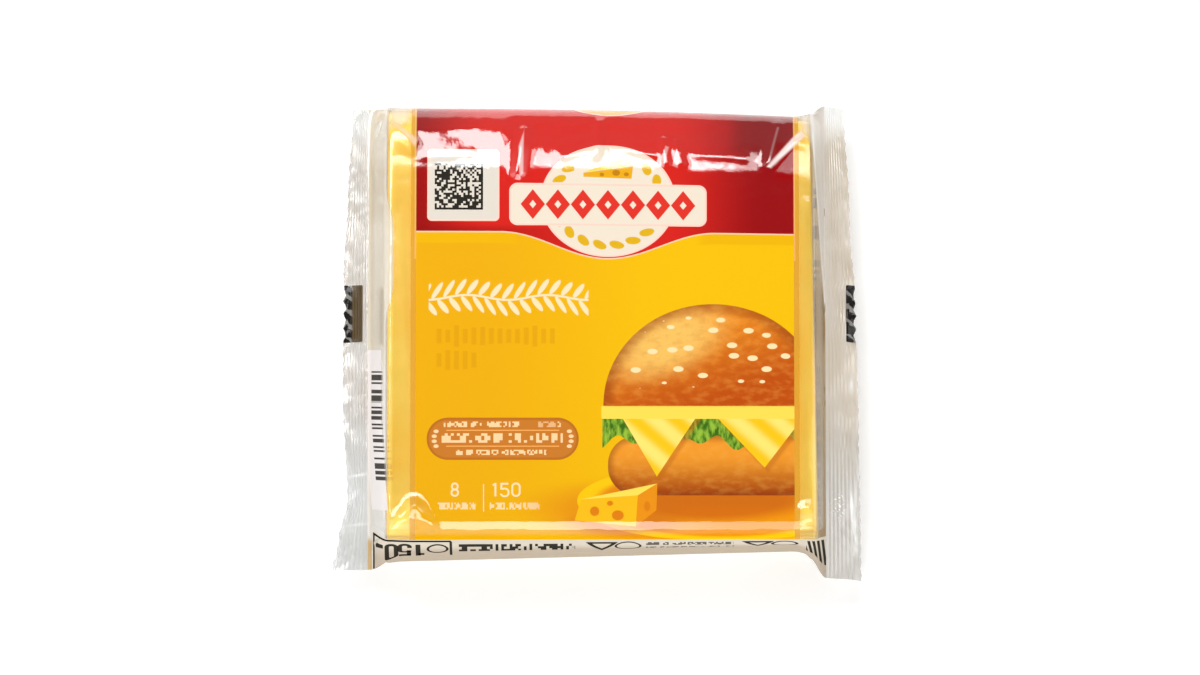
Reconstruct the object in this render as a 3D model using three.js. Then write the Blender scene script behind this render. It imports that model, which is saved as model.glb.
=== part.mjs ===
// A flow-wrapped pack of square cheese slices, lying on its back. One closed solid stands for the sealed
// film and the stack inside it. Millimetres: +Z is up, +X runs across the printed front from left to
// right, and +Y runs towards the top of the print. The origin is under the middle of the outer box.
import * as THREE from "three";

// The stack of wrapped slices, and the film drawn round it
const BLOCK_LEFT = -43;
const BLOCK_RIGHT = 40.5;
const BLOCK_HEIGHT = 21;
const WALL_REACH = 45;
const TOP_SIDE_REACH = 44.8;
const TOP_SIDE_TAPER = 0.02;
const WALL_TAPER = 0.9;

// The flat crimped seal at each end of the film tube
const SEAL_LEVEL = 9.5;
const SEAL_THICKNESS = 0.6;
const TOOTH_DEPTH = 1.1;
const TOOTH_ROOT = 0.4;
const RIB_DEPTH = 0.12;

// side is -1 on the left and +1 on the right; the film closes down from the block between shoulder and
// start, and flareStart is where the side walls begin to spread towards the seal; ends are the seal's
// reach in Y; edge gives [y, x] points of the cut edge
const LEFT_SEAL = {
  side: -1,
  flareStart: -40,
  shoulder: -42.6,
  start: -47,
  ends: [-46.6, 45.7],
  edge: [[-47, -54], [-41, -52.8], [-33, -51], [-12, -52], [10, -52], [28, -51.2], [46, -50.2]],
  droop: [4.2, 0.4],
  tilt: 0.6,
};
const RIGHT_SEAL = {
  side: 1,
  flareStart: 36,
  shoulder: 39.9,
  start: 42.6,
  ends: [-48.6, 46.7],
  edge: [[-49, 49.6], [-20, 49.2], [5, 48.8], [24, 47.6], [47, 46.6]],
  droop: [2.6, 1.2],
  tilt: 2.2,
};

// The back fin: the film's long edges sealed together and folded flat against the back
const FIN_LOW_Y = 0.5;
const FIN_HIGH_Y = 11;
const FIN_THICKNESS = 0.4;
const FIN_RIB_DEPTH = 0.12;

// Mesh steps across the pack and along it
const RING_STEPS = 70;
const SEAL_STEPS = 4;
const SHOULDER_STEPS = 5;
const BLOCK_STEPS = 21;

// Section of the film over the block, seen along X, from the near wall over the front to the top side
const FRONT_PROFILE = [
  [-WALL_REACH, SEAL_LEVEL], [-44.7, 14.5], [-44, 18.4], [-42.4, 20.5], [-39, 21.3], [-34, BLOCK_HEIGHT],
  [0, BLOCK_HEIGHT], [26, BLOCK_HEIGHT], [31, 20.9], [38, 19.3], [42.4, 16.8], [44.5, 13],
  [TOP_SIDE_REACH, SEAL_LEVEL],
];
// The same for the back, which lies flat except where it bridges the fin
const BACK_PROFILE = [
  [-WALL_REACH, SEAL_LEVEL], [-44.8, 4.6], [-43.8, 1.7], [-41.6, 0.25], [-38.5, 0], [-34, 0], [-8, 0],
  [-3, FIN_THICKNESS], [FIN_HIGH_Y, FIN_THICKNESS], [15, FIN_THICKNESS], [20, 0], [34, 0], [38.5, 0],
  [41.6, 0.25], [43.8, 1.7], [44.7, 4.6], [TOP_SIDE_REACH, SEAL_LEVEL],
];

// Folds in the front film: a straight ridge from one plan point to the other
const FOLDS = [
  { from: [28.8, 31], to: [38.5, 39], height: 1.1, width: 1.5 },
  { from: [29, 31.5], to: [31.8, 41], height: 0.7, width: 1.1 },
  { from: [-17.6, 29.5], to: [-16.6, 38.5], height: 0.9, width: 1.3 },
  { from: [-2.2, 33.5], to: [-1.6, 40.5], height: 0.5, width: 1 },
  { from: [11.5, 31.5], to: [10.8, 36.5], height: 0.6, width: 1 },
  { from: [14.4, 31.5], to: [13.2, 36], height: 0.5, width: 0.9 },
  { from: [-42.5, 41], to: [-36.5, 32], height: 0.9, width: 1.4 },
  { from: [-43, -44], to: [-37.6, -38], height: 1, width: 1.6 },
  { from: [-37.6, -38], to: [-33.5, -42], height: 0.7, width: 1.4 },
  { from: [42.5, 42], to: [38, 36], height: 0.6, width: 1.3 },
  { from: [42.5, -43], to: [38.5, -38.5], height: 0.5, width: 1.4 },
];
// Long shallow swells of the loose film along its top edge
const SWELL = { height: 0.35, length: 23, centreY: 37, width: 5 };

const lerp = THREE.MathUtils.lerp;
const ramp = (value, low, high) => THREE.MathUtils.smoothstep((value - low) / (high - low), 0, 1);

// Points spread evenly along a smooth line through [y, z] points
function spacedProfile(points) {
  const curve = new THREE.CatmullRomCurve3(points.map(([y, z]) => new THREE.Vector3(0, y, z)), false, "centripetal");
  curve.arcLengthDivisions = 800;
  return curve.getSpacedPoints(RING_STEPS).map((p) => ({ y: p.y, z: p.z }));
}

// The back's section, with the ribbed fin filling the gap that the film bridges
function backSection() {
  return spacedProfile(BACK_PROFILE).map((p, step) => {
    const onFin = p.y > FIN_LOW_Y && p.y < FIN_HIGH_Y;
    return onFin ? { y: p.y, z: step % 2 ? FIN_RIB_DEPTH : 0 } : p;
  });
}

// A smooth line through [key, value] points, read at one key
function readLine(points, key) {
  const last = points.length - 1;
  const inside = THREE.MathUtils.clamp(key, points[0][0], points[last][0]);
  const i = Math.min(points.findIndex(([k], n) => n === last || points[n + 1][0] >= inside), last - 1);
  const [k0, v0] = points[i];
  const [k1, v1] = points[i + 1];
  return lerp(v0, v1, ramp(inside, k0, k1));
}

function ridgeHeight(fold, x, y) {
  const [x0, y0] = fold.from;
  const [x1, y1] = fold.to;
  const along = THREE.MathUtils.clamp(
    ((x - x0) * (x1 - x0) + (y - y0) * (y1 - y0)) / ((x1 - x0) ** 2 + (y1 - y0) ** 2), 0, 1);
  const off = Math.hypot(x - lerp(x0, x1, along), y - lerp(y0, y1, along));
  return fold.height * Math.exp(-((off / fold.width) ** 2));
}

// How far the front film stands above its plain section
function frontRelief(x, y) {
  const swell = SWELL.height * Math.sin((2 * Math.PI * x) / SWELL.length)
    * Math.exp(-(((y - SWELL.centreY) / SWELL.width) ** 2));
  return swell + FOLDS.reduce((sum, fold) => sum + ridgeHeight(fold, x, y), 0);
}

// The height of a seal's middle surface, which droops towards its two ends and outwards
function sealHeight(seal, y, across) {
  const [nearDroop, farDroop] = seal.droop;
  const near = ramp(y, -24, seal.ends[0]);
  const far = ramp(y, 26, seal.ends[1]);
  const wave = 0.35 * Math.sin(y * 0.21 + seal.side);
  return SEAL_LEVEL - nearDroop * near - farDroop * far - seal.tilt * across + wave * across;
}

// One point of the pack: half is +1 on the front film and -1 on the back film, step counts across the
// pack in Y, x is the station, and across runs from 0 at a seal's start to 1 at its cut edge
function packPoint(half, profile, step, x, across) {
  const seal = x < 0 ? LEFT_SEAL : RIGHT_SEAL;
  const base = profile[step];
  const rightward = THREE.MathUtils.clamp((x - BLOCK_LEFT) / (BLOCK_RIGHT - BLOCK_LEFT), 0, 1);
  const wallShare = Math.max(0, 1 - Math.abs(base.z - SEAL_LEVEL) / SEAL_LEVEL);
  let y = base.y > 0 ? base.y * (1 - TOP_SIDE_TAPER * 2 * rightward) : base.y;
  if (base.y < 0) y += WALL_TAPER * rightward * wallShare;

  const flare = ramp(x * seal.side, seal.flareStart * seal.side, seal.start * seal.side - 1);
  const end = base.y > 0 ? seal.ends[1] : seal.ends[0];
  y += (end - Math.sign(end) * WALL_REACH) * flare * wallShare ** 1.5;

  const shoulder = ramp(x * seal.side, seal.shoulder * seal.side, seal.start * seal.side);
  const sealY = lerp(seal.ends[0], seal.ends[1], step / RING_STEPS);
  const relief = half > 0 ? frontRelief(x, y) * ramp(base.z, SEAL_LEVEL, BLOCK_HEIGHT - 5) : 0;
  const skin = (half * SEAL_THICKNESS) / 2;
  const sealZ = sealHeight(seal, sealY, across);
  const finalY = lerp(y, sealY, shoulder);
  const openZ = base.z + relief + (step === 0 || step === RING_STEPS ? skin : 0);
  return new THREE.Vector3(x, finalY, lerp(openZ, sealZ + skin, shoulder));
}

// The stations along X, each as {seal, share}: share runs from 0 to 1 across a seal, and elsewhere x is set
function stations() {
  const list = [];
  const span = (from, to, steps) => {
    for (let i = 0; i < steps; i++) list.push({ x: lerp(from, to, i / steps) });
  };
  for (let i = 0; i < SEAL_STEPS; i++) list.push({ seal: LEFT_SEAL, share: 1 - i / SEAL_STEPS, rib: i % 2 });
  span(LEFT_SEAL.start, LEFT_SEAL.shoulder, SHOULDER_STEPS);
  span(LEFT_SEAL.shoulder, RIGHT_SEAL.shoulder, BLOCK_STEPS);
  span(RIGHT_SEAL.shoulder, RIGHT_SEAL.start, SHOULDER_STEPS);
  for (let i = 0; i <= SEAL_STEPS; i++) list.push({ seal: RIGHT_SEAL, share: i / SEAL_STEPS, rib: i % 2 });
  return list;
}

// The points of one station: the front film from near to far, then the back film from far to near
function stationRing(station, front, back) {
  const ring = [];
  const place = (half, profile, step) => {
    if (!station.seal) return packPoint(half, profile, step, station.x, 0);
    const seal = station.seal;
    const point = packPoint(half, profile, step, seal.start, station.share);
    const edgeX = readLine(seal.edge, point.y);
    const toothRoot = edgeX - seal.side * (TOOTH_DEPTH + TOOTH_ROOT);
    const toothedX = edgeX - seal.side * (step % 2 ? TOOTH_DEPTH : 0);
    const inner = station.share / (1 - 1 / SEAL_STEPS);
    point.x = station.share === 1 ? toothedX : lerp(seal.start, toothRoot, inner);
    point.z += station.rib ? half * RIB_DEPTH : 0;
    return point;
  };
  for (let step = 0; step <= RING_STEPS; step++) ring.push(place(1, front, step));
  for (let step = RING_STEPS; step >= 0; step--) ring.push(place(-1, back, step));
  return ring;
}

// The film tube from one cut edge to the other, closed at both edges
function filmTube() {
  const front = spacedProfile(FRONT_PROFILE);
  const back = backSection();
  const rings = stations().map((station) => stationRing(station, front, back));
  const size = rings[0].length;
  const positions = rings.flat().flatMap((p) => [p.x, p.y, p.z]);
  const index = [];
  for (let i = 0; i + 1 < rings.length; i++) {
    for (let j = 0; j < size; j++) {
      const a = i * size + j;
      const b = i * size + ((j + 1) % size);
      index.push(a, a + size, b, b, a + size, b + size);
    }
  }
  const last = (rings.length - 1) * size;
  for (let j = 0; j < RING_STEPS; j++) {
    const under = size - 1 - j;
    index.push(j, j + 1, under, under, j + 1, under - 1);
    index.push(last + j, last + under, last + j + 1, last + j + 1, last + under, last + under - 1);
  }
  const geometry = new THREE.BufferGeometry();
  geometry.setAttribute("position", new THREE.Float32BufferAttribute(positions, 3));
  geometry.setIndex(index);
  geometry.computeVertexNormals();
  return geometry;
}

const printedFilm = new THREE.MeshStandardMaterial({ color: 0xf3b719, roughness: 0.25, metalness: 0 });
const pack = new THREE.Mesh(filmTube(), printedFilm);
pack.name = "cheese_pack";

const model = new THREE.Group();
model.add(pack);
const box = new THREE.Box3().setFromObject(model);
const middle = box.getCenter(new THREE.Vector3());
pack.position.set(-middle.x, -middle.y, -box.min.z);

export default model;
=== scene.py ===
import math
from functools import reduce
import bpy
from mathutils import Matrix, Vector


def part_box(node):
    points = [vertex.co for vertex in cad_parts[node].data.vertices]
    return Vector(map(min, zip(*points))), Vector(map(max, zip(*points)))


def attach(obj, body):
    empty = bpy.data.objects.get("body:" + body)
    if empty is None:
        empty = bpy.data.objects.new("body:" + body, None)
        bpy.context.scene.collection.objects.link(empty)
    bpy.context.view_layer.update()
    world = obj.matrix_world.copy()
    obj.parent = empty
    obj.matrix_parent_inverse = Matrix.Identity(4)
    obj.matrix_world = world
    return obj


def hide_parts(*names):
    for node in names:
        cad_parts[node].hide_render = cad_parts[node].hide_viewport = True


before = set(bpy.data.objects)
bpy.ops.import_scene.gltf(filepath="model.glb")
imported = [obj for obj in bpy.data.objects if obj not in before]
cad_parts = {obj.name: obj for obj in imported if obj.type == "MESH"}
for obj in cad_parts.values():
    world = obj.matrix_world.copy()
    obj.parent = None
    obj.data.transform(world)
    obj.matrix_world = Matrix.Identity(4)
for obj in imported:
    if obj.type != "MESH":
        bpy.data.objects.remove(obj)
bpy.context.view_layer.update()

from types import SimpleNamespace

import bpy
import numpy as np
from mathutils import Vector

# Sizes are in millimetres, in the solid's own frame before it is centred: the stack's front is 21 mm up
MM = 0.001
BLOCK_LEFT = -43
BLOCK_RIGHT = 40.5
BLOCK_HEIGHT = 21
WALL_REACH = 45
TOP_SIDE_REACH = 45.2
TOP_SIDE_TAPER = 0.042
# How late along the pack that taper sets in
TAPER_POWER = 2.2
WALL_TAPER = 2.2

# The flat crimped seals: each welded film is thin here, and pressed into ribs along the cut edge
SEAL_LEVEL = 9.5
SEAL_THICKNESS = 0.3
TOOTH_DEPTH = 0.25
TOOTH_ROOT = 0.4
TOOTH_PITCH = 2.72
TOOTH_SHARE = 0.8
RIB_HEIGHT = 0.05
CRIMP_HEIGHT = 0.08
SLACK_HEIGHT = 0.22
FINE_SLACK_HEIGHT = 0.1

LEFT_SEAL = SimpleNamespace(
    side=-1, flare_start=-40, shoulder=-42.6, start=-47, ends=(-46.6, 45.7), droop=(4.2, 0.4), tilt=0.6,
    edge=((-47, -54), (-41, -52.8), (-33, -51), (-12, -52), (10, -52), (28, -51.2), (46, -50.2)), ribs=7)
RIGHT_SEAL = SimpleNamespace(
    side=1, flare_start=36, shoulder=39.9, start=42.6, ends=(-48.6, 46.7), droop=(2.6, 1.2), tilt=2.2,
    edge=((-49, 49.6), (-20, 49.2), (5, 48.8), (24, 47.6), (47, 46.6)), ribs=8)

# Along the dark edge marks the teeth are deeper
MARK_SPAN = (-1.5, 10)
MARK_DEPTH = 0.6

FIN_LOW_Y = 0.5
FIN_HIGH_Y = 11
FIN_THICKNESS = 0.4

FRONT_PROFILE = (
    (-WALL_REACH, SEAL_LEVEL), (-44.75, 14.5), (-44.4, 16.8), (-43.6, 18.9), (-42.6, 20.03), (-42.3, 20.23),
    (-41.65, 20.54), (-41, 20.84), (-40.6, 20.97), (-39, 21.1), (-34, BLOCK_HEIGHT), (0, BLOCK_HEIGHT),
    (28, BLOCK_HEIGHT), (31.6, 20.88), (38.6, 19.5), (42.9, 17), (45, 13), (TOP_SIDE_REACH, SEAL_LEVEL))
BACK_PROFILE = (
    (-WALL_REACH, SEAL_LEVEL), (-44.8, 4.6), (-43.8, 1.7), (-41.6, 0.25), (-38.5, 0), (-34, 0), (-8, 0),
    (-3, FIN_THICKNESS), (FIN_HIGH_Y, FIN_THICKNESS), (15, FIN_THICKNESS), (20, 0), (34, 0), (38.5, 0),
    (41.6, 0.25), (43.8, 1.7), (45, 4.6), (TOP_SIDE_REACH, SEAL_LEVEL))

# Folds in the front film, as ridges: from, to, height and width
FOLDS = (
    ((31.4, 31.2), (38.2, 38.7), 0.15, 1.0), ((31.4, 31.6), (33.4, 40.4), 0.6, 1.0),
    ((-17.6, 29.5), (-16.6, 38.5), 0.9, 1.3), ((-2.2, 33.5), (-1.6, 40.5), 0.5, 1),
    ((11.5, 31.5), (10.8, 36.5), 0.6, 1), ((14.4, 31.5), (13.2, 36), 0.5, 0.9),
    ((-42.5, 41), (-38.5, 35), 0.4, 1.4), ((-43, -44), (-37.6, -38), 0.75, 1.6),
    ((-37.6, -38), (-34.5, -41.5), 0.7, 1.4), ((42.5, 42), (38, 36), 0.25, 1.3),
    ((42.5, -43), (38.5, -38.5), 0.5, 1.4))
# Finer creases that only the film's shine shows
CREASES = (
    ((-23.2, 13), (-23.0, 33), 0.05, 0.35), ((32.6, 31.4), (37.4, 37.2), 0.25, 0.5),
    ((-8.5, 33), (-2.5, 34.6), 0.18, 0.9), ((3, 34.5), (9, 33.4), 0.16, 0.8),
    ((16.5, 33.5), (27, 32.6), 0.14, 0.9), ((-36, 33), (-27, 33.6), 0.12, 1.2),
    ((-41, 20), (-39.5, -10), 0.12, 0.9), ((38.5, 24), (38.9, -14), 0.1, 0.7))
SWELL_HEIGHT = 0.12
SWELL_LENGTH = 23
SWELL_CENTRE = 37
SWELL_WIDTH = 5
# Right of the label the far edge falls away sooner
SAG_DEPTH = 0.5
SAG_CENTRE = 38.2
SAG_WIDTH = 3
# Left of the label it keeps its slope further out before it turns down
LIFT_HEIGHT = 0.3
LIFT_CENTRE = 39.6
LIFT_WIDTH = 2
# Past the print's ends the far edge is rounder
END_SWELL = 0.45
END_SWELL_CENTRE = 37
END_SWELL_WIDTH = 2.5


def lerp(a, b, t):
    return a + (b - a) * t


def ramp(value, low, high):
    """A smooth step from 0 at low to 1 at high."""
    t = np.clip((value - low) / (high - low), 0, 1)
    return t * t * (3 - 2 * t)


def hump(value, centre, width):
    """A smooth hump, 1 high at its centre."""
    return np.exp(-((value - centre) / width)**2)


def smooth_line(points, per_span=40):
    """The centripetal Catmull-Rom line through the points, closely sampled."""
    p = np.array(points, float)
    p = np.vstack([2 * p[0] - p[1], p, 2 * p[-1] - p[-2]])
    t = np.linspace(0, 1, per_span, endpoint=False)[:, None]
    line = []
    for a, b, c, d in zip(p, p[1:], p[2:], p[3:]):
        ab, bc, cd = (math.sqrt(np.linalg.norm(q)) for q in (b - a, c - b, d - c))
        out_b = ((b - a) / ab - (c - a) / (ab + bc) + (c - b) / bc) * bc
        out_c = ((c - b) / bc - (d - b) / (bc + cd) + (d - c) / cd) * bc
        line.append(b + out_b * t + (3 * (c - b) - 2 * out_b - out_c) * t**2
                    + (2 * (b - c) + out_b + out_c) * t**3)
    return np.vstack(line + [p[-2]])


def section(points, steps, weight):
    """y, z and length along a section, with steps packed where weight(y) is high. Length is y at y = 0."""
    line = smooth_line(points)
    run = np.concatenate([[0], np.cumsum(np.linalg.norm(np.diff(line, axis=0), axis=1))])
    middle = (line[1:, 0] + line[:-1, 0]) / 2
    packed = np.concatenate([[0], np.cumsum(np.diff(run) * weight(middle))])
    at = np.interp(np.linspace(0, packed[-1], steps + 1), packed, run)
    y = np.interp(at, run, line[:, 0])
    z = np.interp(at, run, line[:, 1])
    return SimpleNamespace(y=y, z=z, run=at - np.interp(0, line[:, 0], run), share=at / run[-1])


def edge_weight(y):
    """Packs the front's steps towards its far and near edges."""
    return np.where((y > 26) | (y < -36), 2.0, 0.62)


def read_line(points, key):
    """A line through (key, value) points that eases from point to point."""
    keys, values = np.array(points, float).T
    key = np.clip(key, keys[0], keys[-1])
    i = np.clip(np.searchsorted(keys, key, "left") - 1, 0, len(keys) - 2)
    return lerp(values[i], values[i + 1], ramp(key, keys[i], keys[i + 1]))


def waves(x, y, length, seed, count=10):
    """An even random ripple about 1 high, from waves that run in all directions."""
    draw = np.random.default_rng(seed)
    total = 0
    for _ in range(count):
        angle, phase, stretch = draw.uniform(0, math.tau, 2).tolist() + [draw.uniform(0.7, 1.6)]
        along = x * math.cos(angle) + y * math.sin(angle)
        total = total + np.sin(along * math.tau / (length * stretch) + phase)
    return total / math.sqrt(count)


def ridges(x, y, folds):
    """The height of all the folds at a place."""
    total = 0
    for (x0, y0), (x1, y1), height, width in folds:
        along = np.clip(((x - x0) * (x1 - x0) + (y - y0) * (y1 - y0)) / ((x1 - x0)**2 + (y1 - y0)**2), 0, 1)
        off = np.hypot(x - lerp(x0, x1, along), y - lerp(y0, y1, along))
        total = total + height * hump(off, 0, width)
    return total


def sag(x, y):
    """How far the far edge stands off its plain section: down right of the label, and up left of there."""
    right_part = ramp(x, -21, -17)
    lift = LIFT_HEIGHT * (1 - right_part) * hump(y, LIFT_CENTRE, LIFT_WIDTH)
    return lift - SAG_DEPTH * right_part * hump(y, SAG_CENTRE, SAG_WIDTH)


def front_relief(x, y):
    """How far the front film stands off its plain section, with the loose film's ripples."""
    swell = SWELL_HEIGHT * np.sin(math.tau * x / SWELL_LENGTH) * hump(y, SWELL_CENTRE, SWELL_WIDTH)
    past_print = ramp(x, 34, 36.5) + ramp(-x, 37.6, 39.5)
    swell = swell + END_SWELL * past_print * hump(y, END_SWELL_CENTRE, END_SWELL_WIDTH)
    loose = 0.012 + 0.024 * ramp(y, 30, 35) + 0.035 * ramp(y, -37, -41) + 0.03 * ramp(abs(x + 0.6), 37, 40)
    ripple = loose * waves(x, y, 8, 3) + 0.35 * loose * waves(x, y, 3.2, 5)
    return swell + sag(x, y) + ridges(x, y, FOLDS) + ridges(x, y, CREASES) + ripple


def seal_height(seal, y, across):
    """The height of a seal's middle, where across is 0 at the shoulder and 1 at the cut edge."""
    near = ramp(y, -24, seal.ends[0])
    far = ramp(y, 26, seal.ends[1])
    wave = 0.35 * np.sin(y * 0.21 + seal.side)
    return SEAL_LEVEL - seal.droop[0] * near - seal.droop[1] * far - (seal.tilt - wave) * across


def rightward(x):
    """0 at the block's left end and 1 at its right end, towards which the pack is narrower."""
    return np.clip((x - BLOCK_LEFT) / (BLOCK_RIGHT - BLOCK_LEFT), 0, 1)


def open_section(x, y0, z0, seal):
    """The film round the stack at x: the section's y, spread towards the seal."""
    wall = np.maximum(0, 1 - np.abs(z0 - SEAL_LEVEL) / SEAL_LEVEL)
    drawn_in = WALL_TAPER * rightward(x) * np.where(z0 < SEAL_LEVEL, ramp(-y0, 25, 40), wall)
    y = np.where(y0 > 0, y0 * (1 - TOP_SIDE_TAPER * rightward(x)**TAPER_POWER), y0 + drawn_in)
    flare = ramp(x * seal.side, seal.flare_start * seal.side, seal.start * seal.side - 1)
    end = np.where(y0 > 0, seal.ends[1], seal.ends[0])
    return y + (end - np.sign(end) * WALL_REACH) * flare * wall**1.5


def film_rows():
    """The film's stations along X, as (seal, x, share): share is from 0 to 1 across a seal."""
    left = [(LEFT_SEAL, LEFT_SEAL.start, s) for s in np.linspace(1, 0, 44, endpoint=False)]
    right = [(RIGHT_SEAL, RIGHT_SEAL.start, s) for s in np.linspace(0, 1, 45)]
    spans = ((LEFT_SEAL.start, LEFT_SEAL.shoulder, 14), (LEFT_SEAL.shoulder, RIGHT_SEAL.shoulder, 176),
             (RIGHT_SEAL.shoulder, RIGHT_SEAL.start, 10))
    middle = [(LEFT_SEAL if x < 0 else RIGHT_SEAL, x, 0)
              for a, b, n in spans for x in np.linspace(a, b, n, endpoint=False)]
    return left + middle + right


def film_row(half, line, seal, x, share):
    """One row of film points across the pack, and the x that it has in print."""
    y = open_section(x, line.y, line.z, seal)
    shoulder = ramp(x * seal.side, seal.shoulder * seal.side, seal.start * seal.side)
    seal_y = lerp(seal.ends[0], seal.ends[1], line.share)
    relief = front_relief(x, y) * ramp(line.z, SEAL_LEVEL, BLOCK_HEIGHT - 5) if half > 0 else 0
    skin = half * SEAL_THICKNESS / 2
    ends = (line.share == 0) | (line.share == 1)
    open_z = line.z + relief + np.where(ends, skin, 0)
    z = lerp(open_z, seal_height(seal, seal_y, share) + skin, shoulder)
    y = lerp(y, seal_y, shoulder)
    if share == 0:
        return np.stack([np.full_like(y, x), y, z], 1)
    edge = read_line(seal.edge, y)
    low, high = MARK_SPAN
    depth = TOOTH_DEPTH + MARK_DEPTH * ramp(y, low - 0.5, low) * ramp(-y, -high - 0.5, -high)
    tooth = depth * np.abs(2 * ((y / TOOTH_PITCH) % 1) - 1)
    root = edge - seal.side * (depth + TOOTH_ROOT)
    inner = min(1, share / TOOTH_SHARE)
    outer = max(0, (share - TOOTH_SHARE) / (1 - TOOTH_SHARE))
    x_out = lerp(lerp(seal.start, root, inner), edge - seal.side * tooth, outer)
    fade = math.sin(math.pi * inner) ** 0.5 if inner < 1 else 0
    ribs = RIB_HEIGHT * fade * math.sin(math.tau * seal.ribs * inner)
    crimp = CRIMP_HEIGHT * math.sin(math.pi * outer) * np.sin(math.tau * y / TOOTH_PITCH + 5 * outer)
    slack = SLACK_HEIGHT * waves(x_out, y, 7, 11 + seal.side)
    slack = slack + FINE_SLACK_HEIGHT * waves(x_out, y, 2.6, 17 + seal.side)
    return np.stack([x_out, y, z + ribs + crimp + share * slack], 1)


def zip_rows(low, high, low_at, high_at):
    """Triangles between two rows of vertices that are spaced differently."""
    faces = []
    i = j = 0
    while i < len(low) - 1 or j < len(high) - 1:
        if j == len(high) - 1 or (i < len(low) - 1 and low_at[i + 1] <= high_at[j + 1]):
            faces.append((low[i], low[i + 1], high[j]))
            i += 1
        else:
            faces.append((low[i], high[j + 1], high[j]))
            j += 1
    return faces


def quads(grid, flip=False):
    """Faces of a grid of vertex numbers."""
    a, b, c, d = grid[:-1, :-1], grid[1:, :-1], grid[1:, 1:], grid[:-1, 1:]
    faces = np.stack([a, b, c, d], -1).reshape(-1, 4)
    return (faces[:, ::-1] if flip else faces).tolist()


def mesh_object(name, points, faces, materials, slots=None, places=None, sharp=50):
    """A smooth mesh object from points in millimetres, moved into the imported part's frame."""
    mesh = bpy.data.meshes.new(name)
    mesh.from_pydata(((points + SHIFT) * MM).tolist(), [], faces)
    for material in materials:
        mesh.materials.append(material)
    if slots is not None:
        mesh.polygons.foreach_set("material_index", slots)
    corner = np.zeros(len(mesh.loops), int)
    mesh.loops.foreach_get("vertex_index", corner)
    for layer, place in (places or {}).items():
        uv = mesh.uv_layers.new(name=layer)
        uv.data.foreach_set("uv", place[corner].astype(np.float32).ravel())
    mesh.shade_smooth()
    mesh.set_sharp_from_angle(angle=math.radians(sharp))
    mesh.validate()
    item = bpy.data.objects.new(name, mesh)
    bpy.context.scene.collection.objects.link(item)
    return item


def feed(tree, slot, value):
    """Links an input to a socket or a Field, or sets it to a plain value. None leaves it as it is."""
    if isinstance(value, Field):
        value = value.socket
    if isinstance(value, bpy.types.NodeSocket):
        tree.links.new(value, slot)
    elif value is not None:
        slot.default_value = value


def add_node(tree, kind, inputs=None, **settings):
    """A node with its settings and its inputs, which are given by name or number."""
    node = tree.nodes.new(kind)
    for key, value in settings.items():
        setattr(node, key, value)
    for key, value in (inputs or {}).items():
        feed(tree, node.inputs[key], value)
    return node


def show(tree, shader, kind="ShaderNodeOutputMaterial"):
    """Ends a tree with this shader."""
    add_node(tree, kind, {"Surface": shader.outputs[0]})


# How wide the edge of a printed shape is
SOFT_EDGE = 0.07


class Field:
    """A number that varies over a surface. Arithmetic on it adds Math nodes."""

    def __init__(self, ink, socket):
        self.ink = ink
        self.socket = socket

    def do(self, operation, *others):
        node = self.ink.add("ShaderNodeMath", self, *others, operation=operation)
        return Field(self.ink, node.outputs[0])

    def step(self, low, high):
        """0 at low and 1 at high, with a smooth change between them."""
        kind = "ShaderNodeMapRange"
        node = self.ink.add(kind, self, low, high, interpolation_type="SMOOTHSTEP", clamp=False)
        return Field(self.ink, node.outputs[0])

    def __add__(self, other):
        return self.do("ADD", other)

    __radd__ = __add__

    def __mul__(self, other):
        return self.do("MULTIPLY", other)

    __rmul__ = __mul__

    def __sub__(self, other):
        return self.do("SUBTRACT", other)

    def __rsub__(self, other):
        return self.do("MULTIPLY_ADD", -1.0, other)

    def __truediv__(self, other):
        return self.do("DIVIDE", other)

    def __abs__(self):
        return self.do("ABSOLUTE")

    def above(self, limit, soft):
        """0 below the limit and 1 above it, over a soft edge."""
        return self.step(limit - soft / 2, limit + soft / 2)

    def between(self, low, high, soft=SOFT_EDGE):
        return self.above(low, soft) * (1 - self.above(high, soft))


def strongest(fields):
    """The highest of the fields at each place."""
    return reduce(lambda a, b: a.do("MAXIMUM", b), fields)


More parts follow.
